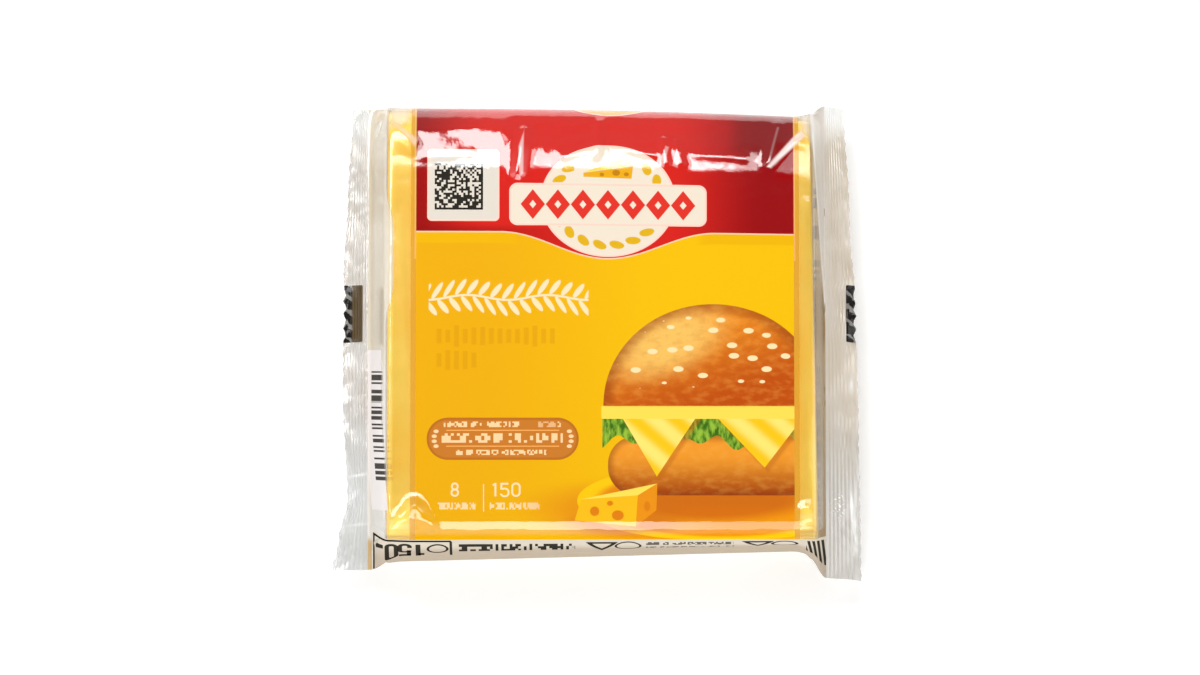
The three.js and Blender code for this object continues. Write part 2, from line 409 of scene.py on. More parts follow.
class Ink:
    """Draws on a surface in its flat print place, in millimetres. A mask is a Field from 0 to 1, and paint
    is the colour that the surface has so far."""

    def __init__(self, material, paint=None):
        self.tree = material.node_tree
        self.paint = paint
        self.place = self.add("ShaderNodeUVMap", uv_map="print").outputs["UV"]
        parts = self.add("ShaderNodeSeparateXYZ", self.place)
        self.u = Field(self, parts.outputs["X"])
        self.v = Field(self, parts.outputs["Y"])

    def level(self):
        """A place across the pack that is the same along any line that is level in the photograph."""
        place = self.add("ShaderNodeUVMap", uv_map="level").outputs["UV"]
        return Field(self, self.add("ShaderNodeSeparateXYZ", place).outputs["Y"])

    def add(self, kind, *inputs, **settings):
        """A node with its settings, and its inputs set or linked in order."""
        node = self.tree.nodes.new(kind)
        for key, value in settings.items():
            setattr(node, key, value)
        for slot, value in zip([s for s in node.inputs if s.enabled], inputs):
            feed(self.tree, slot, value)
        return node

    def vector(self, operation, a, b=None):
        node = self.add("ShaderNodeVectorMath", a, b, operation=operation)
        return node.outputs["Value" if operation in ("LENGTH", "DOT_PRODUCT") else "Vector"]

    def inside(self, distance, soft=SOFT_EDGE):
        return distance.step(soft / 2, -soft / 2)

    def turned(self, centre, turn):
        if not turn:
            return self.place
        node = self.add("ShaderNodeVectorRotate", self.place, (*centre, 0), rotation_type="Z_AXIS")
        node.inputs["Angle"].default_value = math.radians(-turn)
        return node.outputs[0]

    def box_distance(self, centre, half, radius=0.1, turn=0):
        q = self.vector("ABSOLUTE", self.vector("SUBTRACT", self.turned(centre, turn), (*centre, 0)))
        q = self.vector("SUBTRACT", q, (half[0] - radius, half[1] - radius, 0))
        return Field(self, self.vector("LENGTH", self.vector("MAXIMUM", q, (0, 0, 0)))) - radius

    def box(self, centre, half, radius=0.1, turn=0, soft=SOFT_EDGE):
        return self.inside(self.box_distance(centre, half, radius, turn), soft)

    def oval_distance(self, centre, radii, turn=0):
        q = self.vector("SUBTRACT", self.turned(centre, turn), (*centre, 0))
        q = self.vector("DIVIDE", q, (*radii, 1))
        return (Field(self, self.vector("LENGTH", q)) - 1) * min(radii)

    def oval(self, centre, radii, turn=0, soft=SOFT_EDGE):
        return self.inside(self.oval_distance(centre, radii, turn), soft)

    def outline(self, distance, width):
        return self.inside(abs(distance) - width / 2)

    def polygon_distance(self, points):
        """Distance outside a convex shape whose corners run anticlockwise."""
        worst = None
        for (x0, y0), (x1, y1) in zip(points, points[1:] + points[:1]):
            size = math.hypot(x1 - x0, y1 - y0)
            normal = ((y1 - y0) / size, (x0 - x1) / size, 0)
            reach = Field(self, self.vector("DOT_PRODUCT", self.place, normal)) \
                - (normal[0] * x0 + normal[1] * y0)
            worst = reach if worst is None else worst.do("MAXIMUM", reach)
        return worst

    def polygon(self, points, soft=SOFT_EDGE):
        return self.inside(self.polygon_distance(points), soft)

    def random(self, column, row, seed):
        """A random number for each whole-numbered cell."""
        node = add_node(self.tree, "ShaderNodeTexWhiteNoise", noise_dimensions="1D")
        feed(self.tree, node.inputs["W"], column * 0.7313 + row * 19.171 + seed * 7.37)
        return Field(self, node.outputs["Value"])

    def noise(self, size, detail=2.0, stretch=(1, 1), turn=0):
        """Soft noise with blotches of about this many millimetres."""
        shrink = (1 / (size * stretch[0]), 1 / (size * stretch[1]), 1)
        place = self.add("ShaderNodeMapping", self.place, None, (0, 0, math.radians(turn)), shrink)
        inputs = {"Vector": place.outputs[0], "Scale": 1, "Detail": detail}
        node = add_node(self.tree, "ShaderNodeTexNoise", inputs)
        return Field(self, node.outputs["Fac"])

    def mix(self, below, above, mask):
        """The colour above laid on the colour below where the mask is 1."""
        node = add_node(self.tree, "ShaderNodeMix", {"Factor": mask, 6: below, 7: above}, data_type="RGBA")
        return node.outputs[2]

    def lay(self, colour, mask):
        """Lays a colour on the paint where the mask is 1."""
        self.paint = self.mix(self.paint, colour, mask)

    def area(self, corner, size):
        """A box from its low left corner."""
        return self.box((corner[0] + size[0] / 2, corner[1] + size[1] / 2), (size[0] / 2, size[1] / 2))

    def words(self, corner, size, rows, seed, body=0.62, stroke=0.3):
        """Rows of broken marks that stand for small print without being letters."""
        pitch = size[1] / rows
        across = self.u - corner[0]
        down = (self.v - corner[1]) / pitch
        row = down.do("FLOOR")
        within = abs(down.do("FRACT") - 0.5)
        tall = self.inside((within - body / 2) * pitch)
        word = self.random((across / (pitch * 2.3) + row * 0.37).do("FLOOR"), row, seed)
        part = self.random((across / (pitch * stroke)).do("FLOOR"), row, seed + 1.0)
        level = self.random((across / (pitch * stroke)).do("FLOOR"), (down * 3).do("FLOOR"), seed + 2.0)
        frame_mask = self.area(corner, size)
        kept = word.above(0.1, CRISP) * part.above(0.16, CRISP) * level.above(0.3, CRISP)
        return tall * kept * frame_mask

    def pegs(self, corner, size, pitch, seed, thick=0.56):
        """A row of upright rounded bars of mixed heights."""
        cell = (self.u - corner[0]) / pitch
        across = abs(cell.do("FRACT") - 0.5) * pitch
        half = self.random(cell.do("FLOOR"), 2.0, seed) * (size[1] * 0.22) + size[1] * 0.28
        upright = abs(self.v - (corner[1] + size[1] / 2)) - half
        field = across - thick * pitch / 2
        row = self.area(corner, size)
        return self.inside(upright.do("MAXIMUM", field), 0.15) * row

    def leaves(self, place, radii, count, long, wide, lean):
        """A ring of leaf shapes along an oval, each leaning off the oval's line by the same share."""
        x = (self.u - place[0]) / radii[0]
        y = (self.v - place[1]) / radii[1]
        away = ((x * x + y * y).do("SQRT") - 1) * min(radii)
        along = (y.do("ARCTAN2", x) * (count / math.tau)).do("FRACT") - 0.5
        step = math.tau * sum(radii) / 2 / count
        along = along * step
        a = (along + away * lean) / long
        b = (away - along * lean) / wide
        return self.inside(((a * a + b * b).do("SQRT") - 1) * wide)


def srgb(red, green, blue):
    """A colour given on a 0 to 255 scale, as the linear colour that shaders use."""
    shares = (red / 255, green / 255, blue / 255)
    return (*(c / 12.92 if c <= 0.04045 else ((c + 0.055) / 1.055)**2.4 for c in shares), 1)


def new_material(name):
    material = bpy.data.materials.new(name)
    material.use_nodes = True
    material.node_tree.nodes.clear()
    return material


# Higher than a film's own, as the many layers shine together
FILM_IOR = 1.95
CLEAR_ROUGHNESS = 0.14
PRINT_ROUGHNESS = 0.09
SEAL_ROUGHNESS = 0.2
WRAP_ROUGHNESS = 0.25
# Stands for light that milky film passes on
MILK_GLOW = 0.08


def film_shader(ink, colour, solid, bump, roughness=PRINT_ROUGHNESS, glow=0, sheen=0.5):
    """Glossy film: its colour where solid is 1, and see-through under the same gloss where it is 0."""
    tree = ink.tree
    printed = add_node(tree, "ShaderNodeBsdfPrincipled", {
        "Base Color": colour, "Roughness": roughness, "IOR": FILM_IOR, "Specular IOR Level": sheen,
        "Emission Color": colour, "Emission Strength": glow, "Normal": bump})
    clear = add_node(tree, "ShaderNodeBsdfTransparent")
    shine = add_node(tree, "ShaderNodeBsdfGlossy", {"Roughness": CLEAR_ROUGHNESS, "Normal": bump})
    angle = add_node(tree, "ShaderNodeFresnel", {"IOR": FILM_IOR, "Normal": bump})
    bare = ink.add("ShaderNodeMixShader", angle.outputs[0], clear.outputs[0], shine.outputs[0])
    show(tree, ink.add("ShaderNodeMixShader", solid, bare.outputs[0], printed.outputs[0]))


def ripple_normal(ink, size, depth, detail=3):
    """A normal from noise with blotches of this size and depth, in millimetres."""
    height = ink.noise(size, detail)
    return add_node(ink.tree, "ShaderNodeBump", {"Distance": depth * MM, "Height": height}).outputs[0]


# How closely the painted glints on the facets of a crushed edge mark follow each other
FACET_RATE = 2.0
# Random cells and bars change this sharply
CRISP = 0.01

# Print colours
YELLOW_LEFT = srgb(238, 174, 14)
YELLOW_RIGHT = srgb(246, 192, 8)
YELLOW_STRIPE = srgb(240, 182, 6)
RED = srgb(216, 36, 28)
RED_DEEP = srgb(150, 12, 12)
RED_RIGHT = srgb(152, 12, 16)
CREAM = srgb(240, 226, 206)
CREAM_EDGE = srgb(255, 214, 196)
INK_BLACK = srgb(42, 38, 32)
INK_GREY = srgb(92, 86, 80)
INK_WALL = srgb(18, 15, 12)
GOLD = srgb(228, 178, 28)
BADGE = srgb(204, 124, 44)
BADGE_EDGE = srgb(190, 110, 34)
PALE_ORANGE = srgb(255, 214, 160)
# Painted shadow of the print's edge on the slices
EDGE_SHADOW_MUSTARD = srgb(218, 158, 44)
PEACH = srgb(250, 186, 120)
LABEL_WHITE = srgb(228, 219, 206)
# Painted highlight and painted shade for the print's folds
FOLD_HIGHLIGHT_WHITE = srgb(255, 238, 232)
SHADOW_RED = srgb(118, 12, 16)
MARK_GLINT_GREY = srgb(136, 133, 128)
WHITE = srgb(255, 255, 255)

# Paper and film colours: the near wall from its top to its foot, where it is painted darker as shade by the
# floor, the code strips, and the milky clear film
WALL_PAPER = srgb(216, 206, 189)
WALL_PAPER_FOOT_SHADE = srgb(190, 176, 158)
CODE_PAPER = srgb(238, 232, 230)
CODE_INK = srgb(30, 27, 24)
MILK_NEAR = srgb(226, 221, 214)
MILK_MIDDLE = srgb(219, 208, 188)
MILK_FAR = srgb(204, 190, 164)
MILK_CORNER = srgb(238, 234, 226)
CRIMP_MILK = srgb(216, 209, 200)
CRIMP_LINE = srgb(242, 238, 230)
# Painted shade: what shows between the slices and the right seal, the wraps' ends over shade, painted on
# the milky film
WRAP_SHADE_NEAR = srgb(164, 142, 108)
WRAP_SHADE_MIDDLE = srgb(136, 104, 48)
WRAP_SHADE_FAR = srgb(174, 150, 108)
WRAP_TICK = srgb(104, 86, 60)
TAN = srgb(196, 164, 112)

PANEL_LEFT = -37.5
PANEL_RIGHT = 36.3
STRIP_TOP = -44.9
STRIP_LEFT = -45.9
STRIP_RIGHT = 43
BAND_EDGE = 17.5
BAND_BOW = 5.4
BAND_BOW_HALF = 21


def printed_panel(ink):
    """The yellow field under the red band, both with slow changes of tone."""
    u, v = ink.u, ink.v
    field = ink.mix(YELLOW_LEFT, YELLOW_RIGHT, u.above(-6, 46))
    bow = ((u / BAND_BOW_HALF).do("MINIMUM", 1.0).do("MAXIMUM", -1.0) * math.pi).do("COSINE") * 0.5 + 0.5
    over_band = v - (BAND_EDGE - bow * BAND_BOW)
    field = ink.mix(field, YELLOW_STRIPE, over_band.above(-2.1, 0.2) * (1 - bow.above(0.05, 0.1)))
    red = ink.mix(RED_DEEP, RED, u.above(-31, 17))
    red = ink.mix(red, RED_RIGHT, u.above(21, 20))
    red = ink.mix(red, RED_DEEP, (v * -1).above(-18.6, 1.6) * (u * -1).above(14, 30) * 0.6)
    disc = ink.oval_distance((0.2, 48.6), (7.5, 5.2))
    red = ink.mix(red, CREAM_EDGE, ink.inside(disc))
    red = ink.mix(red, srgb(238, 186, 78), ink.inside(disc + 0.4))
    panel = ink.mix(field, CREAM_EDGE, over_band.above(0, SOFT_EDGE) * 0.75)
    return ink.mix(panel, red, over_band.above(0.28, SOFT_EDGE))


def random_bars(ink, place, pitch, seed, limit):
    """Bars across a strip, each there or not by a random number for its cell."""
    return ink.random((place / pitch).do("FLOOR"), 1.0, seed).above(limit, CRISP)


def code_label(ink):
    """A white label with a square of random cells, closed by solid bars on two sides."""
    centre, half = (-28.3, 27.2), (7.05, 7.4)
    cell, count = 0.43, 22
    corner = (-33.9, 22.1)
    ink.lay(CREAM_EDGE, ink.box(centre, half, 0.9))
    ink.lay(LABEL_WHITE, ink.box(centre, (half[0] - 0.35, half[1] - 0.35), 0.7))
    column = ((ink.u - corner[0]) / cell).do("FLOOR")
    row = ((ink.v - corner[1]) / cell).do("FLOOR")
    cells = ink.random(column, row, 4.0).above(0.42, CRISP)
    bars = column.above(count - 1.5, CRISP).do("MAXIMUM", (row * -1).above(-0.5, CRISP))
    middle = (corner[0] + cell * count / 2, corner[1] + cell * count / 2)
    square = ink.box(middle, (cell * count / 2, cell * count / 2), 0.02, soft=0.02)
    ink.lay(INK_BLACK, cells.do("MAXIMUM", bars) * square)


def crest(ink):
    """A cream plaque with a row of lozenges, under a wedge of cheese and before a ring of gold leaves."""
    plaque = (0, 23.3)
    oval = ink.oval_distance((0, 24.2), (13.2, 11.6))
    ink.lay(CREAM_EDGE, ink.inside(oval))
    ink.lay(CREAM, ink.inside(oval + 0.35))
    ribbon = ink.box_distance(plaque, (19.3, 4.3), 1.6)
    ink.lay(CREAM_EDGE, ink.inside(ribbon))
    ink.lay(CREAM, ink.inside(ribbon + 0.4))
    step = 4.9
    cell = (ink.u / step + 0.5).do("FRACT") - 0.5
    lozenge = abs(cell) * (step * 0.92) + abs(ink.v - plaque[1]) * 0.72
    inside_ribbon = ink.box(plaque, (17.2, 3.6), 0.3)
    ink.lay(srgb(226, 52, 40), ink.inside(lozenge - 2.2) * inside_ribbon)
    ink.lay(CREAM, ink.inside(lozenge - 0.6) * inside_ribbon)
    wedge_side = [(-4.8, 29.0), (4.6, 28.7), (4.9, 31.3), (-4.8, 29.8)]
    wedge_top = [(-4.8, 29.9), (4.9, 31.4), (3.2, 33.1)]
    ink.lay(srgb(236, 172, 26), ink.polygon(wedge_side))
    ink.lay(srgb(252, 214, 74), ink.polygon(wedge_top))
    for place, size in (((1.6, 29.9), 0.62), ((3.6, 29.6), 0.4), ((-1.2, 29.5), 0.36)):
        ink.lay(srgb(196, 128, 18), ink.oval(place, (size * 1.2, size)))
    ring = ink.leaves((0, 24.2), (10.7, 9.2), 20, 1.5, 0.85, 0.45)
    free = 1 - ink.box(plaque, (20, 4.5), 0.4)
    sides = abs(ink.u).above(6.6, 0.1).do("MAXIMUM", 1 - ink.v.above(24, 0.1))
    ink.lay(GOLD, ring * free * sides)


def title_marks(ink):
    """A cream garland in place of a name, and two rows of darker bars on the yellow."""
    u, v = ink.u, ink.v
    middle = (u * 0.4).do("SINE") * 0.5 + 4.3
    lift = v - middle
    pitch = 2.3
    reach = ink.box((-19.4, 4.4), (15.6, 4.4), 0.6)
    stem = ink.inside(abs(lift) - 0.22, 0.12)
    marks = stem
    for side, shift in ((1, 0.0), (-1, 0.5)):
        across = ((u / pitch + shift).do("FRACT") - 0.5) * pitch
        height = lift * side - 1.7
        along = (height * 0.82 + across * 0.57) / 1.85
        wide = (across * 0.82 - height * 0.57) / 0.52
        leaf = ((along * along + wide * wide).do("SQRT") - 1) * 0.52
        marks = marks.do("MAXIMUM", ink.inside(leaf, 0.12))
    marks = marks * reach
    ink.lay(srgb(255, 228, 184), marks)
    tone = srgb(214, 146, 12)
    ink.lay(tone, ink.pegs((-33.8, -5.7), (23.8, 4.4), 1.7, 21.0) * 0.4)
    ink.lay(tone, ink.pegs((-33.8, -10.4), (8.4, 4.1), 1.7, 23.0) * 0.4)


def badge(ink):
    """A brown-orange pill with rows of pale marks between two rules."""
    centre = (-20.5, -24.2)
    pill = ink.box_distance(centre, (14.8, 4.25), 4.2)
    ink.lay(BADGE_EDGE, ink.inside(pill))
    ink.lay(BADGE, ink.inside(pill + 0.45, 0.4))
    rows = ((-32, -22.1, 22.8, 1.6, 31.0), (-32.4, -25.4, 23.6, 2.7, 33.0), (-29.6, -27.7, 17.6, 1.5, 35.0))
    for left, low, wide, tall, seed in rows:
        ink.lay(PALE_ORANGE, ink.words((left, low), (wide, tall), 1, seed, body=0.7, stroke=0.22))
    for rule in (-22.5, -25.7):
        ink.lay(srgb(244, 172, 92), ink.box((centre[0], rule), (11, 0.12), 0.05))
    for end in (-34, -7):
        for lift in (-1.5, -0.5, 0.5, 1.5):
            bend = 0.35 * abs(lift) * (1 if end < centre[0] else -1)
            ink.lay(PALE_ORANGE, ink.oval((end + bend, centre[1] + lift), (0.5, 0.36)))


def digits(ink):
    """The plain numbers 8 and 150, with marks in place of the words under them."""
    ink_colour = srgb(255, 226, 176)
    thin, base = 0.38, -35.8

    def ring(centre, half, radius):
        return ink.outline(ink.box_distance(centre, half, radius), thin)

    eight = ring((-29.8, base + 0.75), (0.62, 0.62), 0.55)
    eight = eight.do("MAXIMUM", ring((-29.8, base + 2), (0.55, 0.6), 0.5))
    one = ink.box((-21.9, base + 1.35), (thin / 2, 1.35))
    one = one.do("MAXIMUM", ink.box((-22.15, base + 2.4), (0.35, thin / 2), turn=35))
    hook = ring((-20.1, base + 0.8), (0.75, 0.78), 0.7)
    hook = hook * (1 - ink.box((-21.05, base + 0.95), (0.62, 0.4)))
    five = hook.do("MAXIMUM", ink.box((-20.75, base + 2.05), (thin / 2, 0.65)))
    five = five.do("MAXIMUM", ink.box((-20.15, base + 2.55), (0.78, thin / 2)))
    nought = ring((-17.9, base + 1.35), (0.72, 1.25), 0.68)
    for mark in (eight, one, five, nought):
        ink.lay(ink_colour, mark)
    ink.lay(ink_colour, ink.box((-24.2, -36.1), (0.1, 2.8), 0.05) * 0.8)
    ink.lay(ink_colour, ink.words((-33.4, -38.8), (7.7, 2.1), 1, 41.0, body=0.66, stroke=0.14) * 0.8)
    ink.lay(ink_colour, ink.words((-23, -38.8), (9.7, 2.1), 1, 43.0, body=0.66, stroke=0.14) * 0.8)


def picture(ink):
    """A filled round roll with hanging cheese and salad on a yellow plate, from simple shapes."""
    u, v = ink.u, ink.v
    crust = ink.noise(1.5, 4, stretch=(1.6, 0.9), turn=10)
    grain = ink.noise(0.45, 3)

    ink.lay(srgb(226, 124, 20), ink.oval((13, -40), (25, 6.4), -4, soft=4.5) * 0.7)
    plate = ink.oval_distance((20, -37.5), (26, 7.6), -2)
    ink.lay(srgb(252, 200, 14), ink.inside(plate))
    ink.lay(srgb(238, 150, 16), ink.inside(plate + 1.1, 0.8))
    ink.lay(srgb(198, 90, 20), ink.oval((20, -36.2), (19, 4.4), soft=2.5) * 0.75)

    low_bun = ink.box_distance((20.5, -29.6), (20.5, 6), 5.6)
    tan = ink.mix(srgb(172, 76, 12), srgb(242, 154, 44), v.above(-31, 9))
    tan = ink.mix(tan, srgb(250, 186, 84), crust.above(0.56, 0.3) * 0.2)
    tan = ink.mix(tan, srgb(128, 46, 14), low_bun.step(-1.8, 0) * 0.5)
    ink.lay(tan, ink.inside(low_bun, 0.12))

    ruffle = (u * 0.95).do("SINE") * 0.9 + (u * 0.41).do("SINE") * 0.8
    leaf = ink.inside(-25 + ruffle - v, 0.15) * ink.box((20.5, -22.5), (21.6, 5), 1.5)
    veins = ink.noise(1.6, 3, stretch=(0.5, 1.4))
    ink.lay(ink.mix(srgb(58, 108, 22), srgb(152, 192, 60), veins.above(0.5, 0.3)), leaf)

    pale = ink.mix(srgb(253, 200, 22), srgb(255, 230, 116), (u * 0.8 + v * 0.9).do("SINE").above(0, 2.2))
    for corners in (((2, -18.6), (9.5, -31.8), (18, -18.6)), ((20, -18.6), (30.5, -30), (39, -18.6))):
        shade = ink.polygon([(x + 0.6, y - 0.9) for x, y in corners], soft=0.9)
        ink.lay(srgb(190, 100, 22), shade * 0.5)
        ink.lay(pale, ink.polygon(list(corners), soft=0.1))
    ink.lay(srgb(255, 222, 84), ink.box((20.5, -18.9), (21.8, 1.3), 0.3))

    dome = ink.oval_distance((20.5, -17.4), (21.4, 20.4))
    top = ink.inside(dome, 0.12) * ink.inside(-17.6 - v, 0.4)
    brown = ink.mix(srgb(196, 82, 12), srgb(242, 146, 36), (v - u * 0.3).above(-13, 22))
    brown = ink.mix(brown, srgb(254, 204, 104), ink.oval((11.5, -4.8), (10.5, 5.4), 24, soft=6) * 0.85)
    brown = ink.mix(brown, srgb(136, 48, 14), dome.step(-3, 0) * 0.6)
    brown = ink.mix(brown, srgb(252, 188, 84), crust.above(0.58, 0.3) * 0.18)
    brown = ink.mix(brown, srgb(166, 62, 10), (1 - crust).above(0.56, 0.3) * 0.18)
    brown = ink.mix(brown, srgb(140, 52, 10), grain.above(0.66, 0.16) * 0.18)
    ink.lay(brown, top)
    seed_place = ink.add("ShaderNodeMapping", ink.place, None, (0, 0, 0.4), (0.17, 0.3, 1))
    inputs = {"Scale": 1, "Randomness": 0.75, "Vector": seed_place.outputs[0]}
    seeds = add_node(ink.tree, "ShaderNodeTexVoronoi", inputs, voronoi_dimensions="2D")
    fading = (-11.5 - v).do("MAXIMUM", 0.0) * 0.06 + (dome + 3.5).do("MAXIMUM", 0.0) * 0.06
    seed = (Field(ink, seeds.outputs["Distance"]) + fading).step(0.19, 0.15)
    ink.lay(srgb(255, 228, 172), seed * top)

    face = [(-6.5, -40.6), (5.4, -41.8), (5.8, -35.6), (-5.2, -36.4)]
    lid = [(-5.2, -36.4), (5.8, -35.6), (9.6, -33.2)]
    side = [(5.4, -41.8), (9.4, -38.6), (9.6, -33.2), (5.8, -35.6)]
    ink.lay(srgb(206, 108, 22), ink.oval((3.4, -41), (9.6, 2.2), soft=2) * 0.7)
    ink.lay(srgb(250, 190, 26), ink.polygon(face, soft=0.1))
    ink.lay(srgb(255, 224, 88), ink.polygon(lid, soft=0.1))
    ink.lay(srgb(236, 146, 22), ink.polygon(side, soft=0.1))
    for place, size in (((-2.6, -38.8), (0.9, 0.95)), ((1.9, -39.6), (1.15, 1)), ((0.4, -37.2), (0.6, 0.5)),
                        ((7.6, -37.8), (0.6, 1))):
        ink.lay(srgb(224, 128, 18), ink.oval(place, size, soft=0.25))


def wall_marks(ink):
    """The near wall's black marks: a boxed number, black rows and plain outlined signs. The wall stands so
    steeply to the photograph that its marks are drawn tall."""
    u, v = ink.u, ink.v

    def ring(distance, line):
        return ink.inside(abs(distance) - line)

    def sign(centre, radii, width=0.46):
        return ink.outline(ink.oval_distance(centre, radii), width)

    marks = [ink.outline(ink.box_distance((-38.2, -50.4), (7.6, 4.9), 0.3), 0.5)]
    nought = ring(ink.box_distance((-42.2, -50.2), (0.9, 3.2), 0.85), 0.44)
    hook = ring(ink.box_distance((-39.6, -48.8), (0.95, 2.0), 0.9), 0.44)
    hook = hook * (1 - ink.box((-38.7, -49.2), (0.7, 0.8)))
    marks += [nought, hook]
    strokes = (
        ((-38.8, -51.6), (0.42, 1.8)), ((-39.6, -53), (1.2, 0.6)), ((-37.0, -50.2), (0.48, 3.5)),
        ((-36.4, -52.6), (0.6, 0.7)), ((-44.6, -47.8), (0.75, 0.6)))
    for centre, half in strokes:
        marks.append(ink.box(centre, half))
    marks.append(sign((-33.2, -49.2), (1.9, 2.4), 0.5))
    marks.append(ink.words((-29.6, -51.4), (23.2, 5.0), 1, 53.0, body=0.9, stroke=0.11))
    marks.append(ink.words((7.4, -48.2), (17, 2.3), 1, 55.0, body=0.8, stroke=0.16) * 0.85)
    marks.append(ink.words((7.4, -51.2), (17.6, 2), 1, 57.0, body=0.7, stroke=0.2) * 0.7)
    marks.append(sign((3.9, -48.7), (2.4, 2.7)))
    marks.append(ring(ink.polygon_distance([(-1.2, -51.8), (1.3, -46.4), (-3.7, -46.4)]), 0.42))
    marks.append(sign((34.4, -47.7), (2.4, 1.8)))
    marks.append(ring(ink.polygon_distance([(29.2, -49.8), (31.6, -46.2), (26.8, -46.2)]), 0.42))
    bars = abs((u * 1.05 + v * 0.12).do("FRACT") - 0.5)
    marks.append(ink.inside(bars - 0.3, 0.1) * ink.box((40.7, -48.4), (2.1, 2.8), 0.2))
    marks.append(ink.outline(v - (STRIP_TOP - 0.5), 0.44) * (u * -1).above(30.6, 0.1))
    return marks


def front_material():
    """The print on the front and the near wall, and the clear margins with their milky crumpled film."""
    material = new_material("printed_front_film")
    ink = Ink(material)
    u, v = ink.u, ink.v
    panel = u.above(PANEL_LEFT, SOFT_EDGE) * (1 - u.above(PANEL_RIGHT, SOFT_EDGE))
    strip = (1 - v.above(STRIP_TOP, SOFT_EDGE)) * u.above(STRIP_LEFT, SOFT_EDGE)
    strip = strip * (1 - u.above(STRIP_RIGHT, SOFT_EDGE))

    ink.paint = printed_panel(ink)
    for draw in (code_label, crest, title_marks, badge, digits, picture):
        draw(ink)

    # Painted highlights along the folds, as pale streaks, and painted shade on the print beside the far
    # right fold
    folded = ink.polygon([(31.2, 31.8), (31.9, 31.6), (38.8, 39.1), (37.9, 41)], 0.6) * 0.85
    swept_highlight = ink.polygon([(-42.9, 40.4), (-37.9, 35.2), (-37.3, 36.6), (-42.5, 41.6)], 0.8) * 0.6
    shade = ink.polygon([(24.5, 35.5), (31.4, 32), (37.5, 40), (36.5, 44), (25, 44)], 4) * 0.5
    ink.lay(SHADOW_RED, shade)
    fold_highlights = strongest([
        folded, swept_highlight,
        ink.polygon([(-17.3, 28.6), (-16.6, 29.4), (-16.5, 38.4), (-17.5, 35)], 0.4) * 0.55,
        ink.box((32.4, 36.8), (0.16, 4.6), 0.1, -12, 0.5) * 0.2,
        ink.polygon([(9.9, 31.2), (10.9, 31.2), (11.9, 35.6), (11.3, 35.8)], 0.4) * 0.4,
        ink.polygon([(12.6, 31.6), (13.6, 31.2), (14.2, 34.4), (13.4, 34.8)], 0.4) * 0.4])
    rim = abs(u - (PANEL_LEFT + PANEL_RIGHT) / 2) - (PANEL_RIGHT - PANEL_LEFT) / 2
    # Painted shadow: past the print's edges a mustard band stands for the print edge's shadow on the slices
    ink.paint = ink.mix(EDGE_SHADOW_MUSTARD, ink.paint, panel)
    ink.lay(PEACH, rim.between(0.02, 0.3, 0.1) * v.above(BAND_EDGE - BAND_BOW, 0.1) * 0.8)
    ink.lay(FOLD_HIGHLIGHT_WHITE, fold_highlights)
    painted_edge_shadow = (1 - rim.above(1.05, 0.35)) * 0.72
    solid = strongest([panel, painted_edge_shadow, folded, swept_highlight])

    # Painted shade: the near wall darkens towards its foot by the floor
    paper = ink.mix(WALL_PAPER, WALL_PAPER_FOOT_SHADE, (v * -1).above(49.2, 5))
    for mark in wall_marks(ink):
        paper = ink.mix(paper, INK_WALL, mark * 0.95)
    ink.lay(paper, strip)
    solid = solid.do("MAXIMUM", strip)

    # The back film's code strip shows through the left margin
    level = ink.level()
    along = u - (level * -1 - 14.5).do("MAXIMUM", 0.0) * 0.08
    code_strip = along.between(-47.6, -44.3) * level.between(-33, -0.7)
    code = random_bars(ink, level, 0.38, 71.0, 0.4) * level.between(-27, -5)
    code = code * (along.between(-46.3, -44.0) + along.between(-43.9, -42.8, 0.3) * 0.3)
    ink.lay(CODE_PAPER, code_strip)
    ink.lay(CODE_INK, code * 0.95)
    solid = solid.do("MAXIMUM", code_strip * 0.85).do("MAXIMUM", code * 0.9)

    # Past the slices the film is crumpled and milky, and hides what is behind it
    loose = 1.3 * level.between(9, 28, 8) + 0.35
    left = (u * -1 + loose).above(43.6, 0.8)
    right = (u + level * 0.018).above(40.3, 0.6)
    corners = strongest([
        ink.polygon([(-42.4, 39.2), (-39, 40.8), (-38.2, 48), (-43.2, 48)], 2.6) * 0.55,
        ink.polygon([(38.1, 40.5), (41, 35.7), (42, 47), (37.4, 47)], 2.4) * 0.65])
    milk = ink.mix(MILK_NEAR, MILK_MIDDLE, level.above(-4, 4))
    milk = ink.mix(milk, MILK_FAR, level.between(26, 38, 6) * 0.8)
    edge = (level.do("MAXIMUM", 3.4) - 3.4) * -0.07 + 42.9
    # Painted shade inside the pack past the slices' right end, with the wraps' ends and the back print's
    # marks
    inner = ink.mix(WRAP_SHADE_NEAR, WRAP_SHADE_MIDDLE, level.above(0, 6))
    inner = ink.mix(inner, WRAP_SHADE_FAR, level.above(13, 5))
    ticks = random_bars(ink, level, 0.7, 81.0, 0.5) * level.between(11, 32, 1)
    inner = ink.mix(inner, WRAP_TICK, ticks * u.between(40.2, 41.5, 0.4) * 0.8)
    small = random_bars(ink, level, 0.34, 83.0, 0.45) * level.between(-37, -4, 1)
    inner = ink.mix(inner, INK_GREY, small * u.between(40.7, 41.5, 0.15) * 0.7)
    outside = ink.mix(inner, CRIMP_MILK, (u - edge).above(0, 0.2))
    outside = ink.mix(outside, CRIMP_LINE, ink.inside(abs(u - edge) - 0.16, 0.15) * 0.8)
    milk = ink.mix(milk, outside, u.above(39, 0.1))
    milk = ink.mix(milk, MILK_CORNER, corners)
    veil = left.do("MAXIMUM", right) * 0.82
    veil = veil.do("MAXIMUM", corners)
    ink.lay(milk, veil.above(0.1, 0.1) * (1 - solid.above(0.5, 0.2)))
    solid = solid.do("MAXIMUM", veil + 0.04)

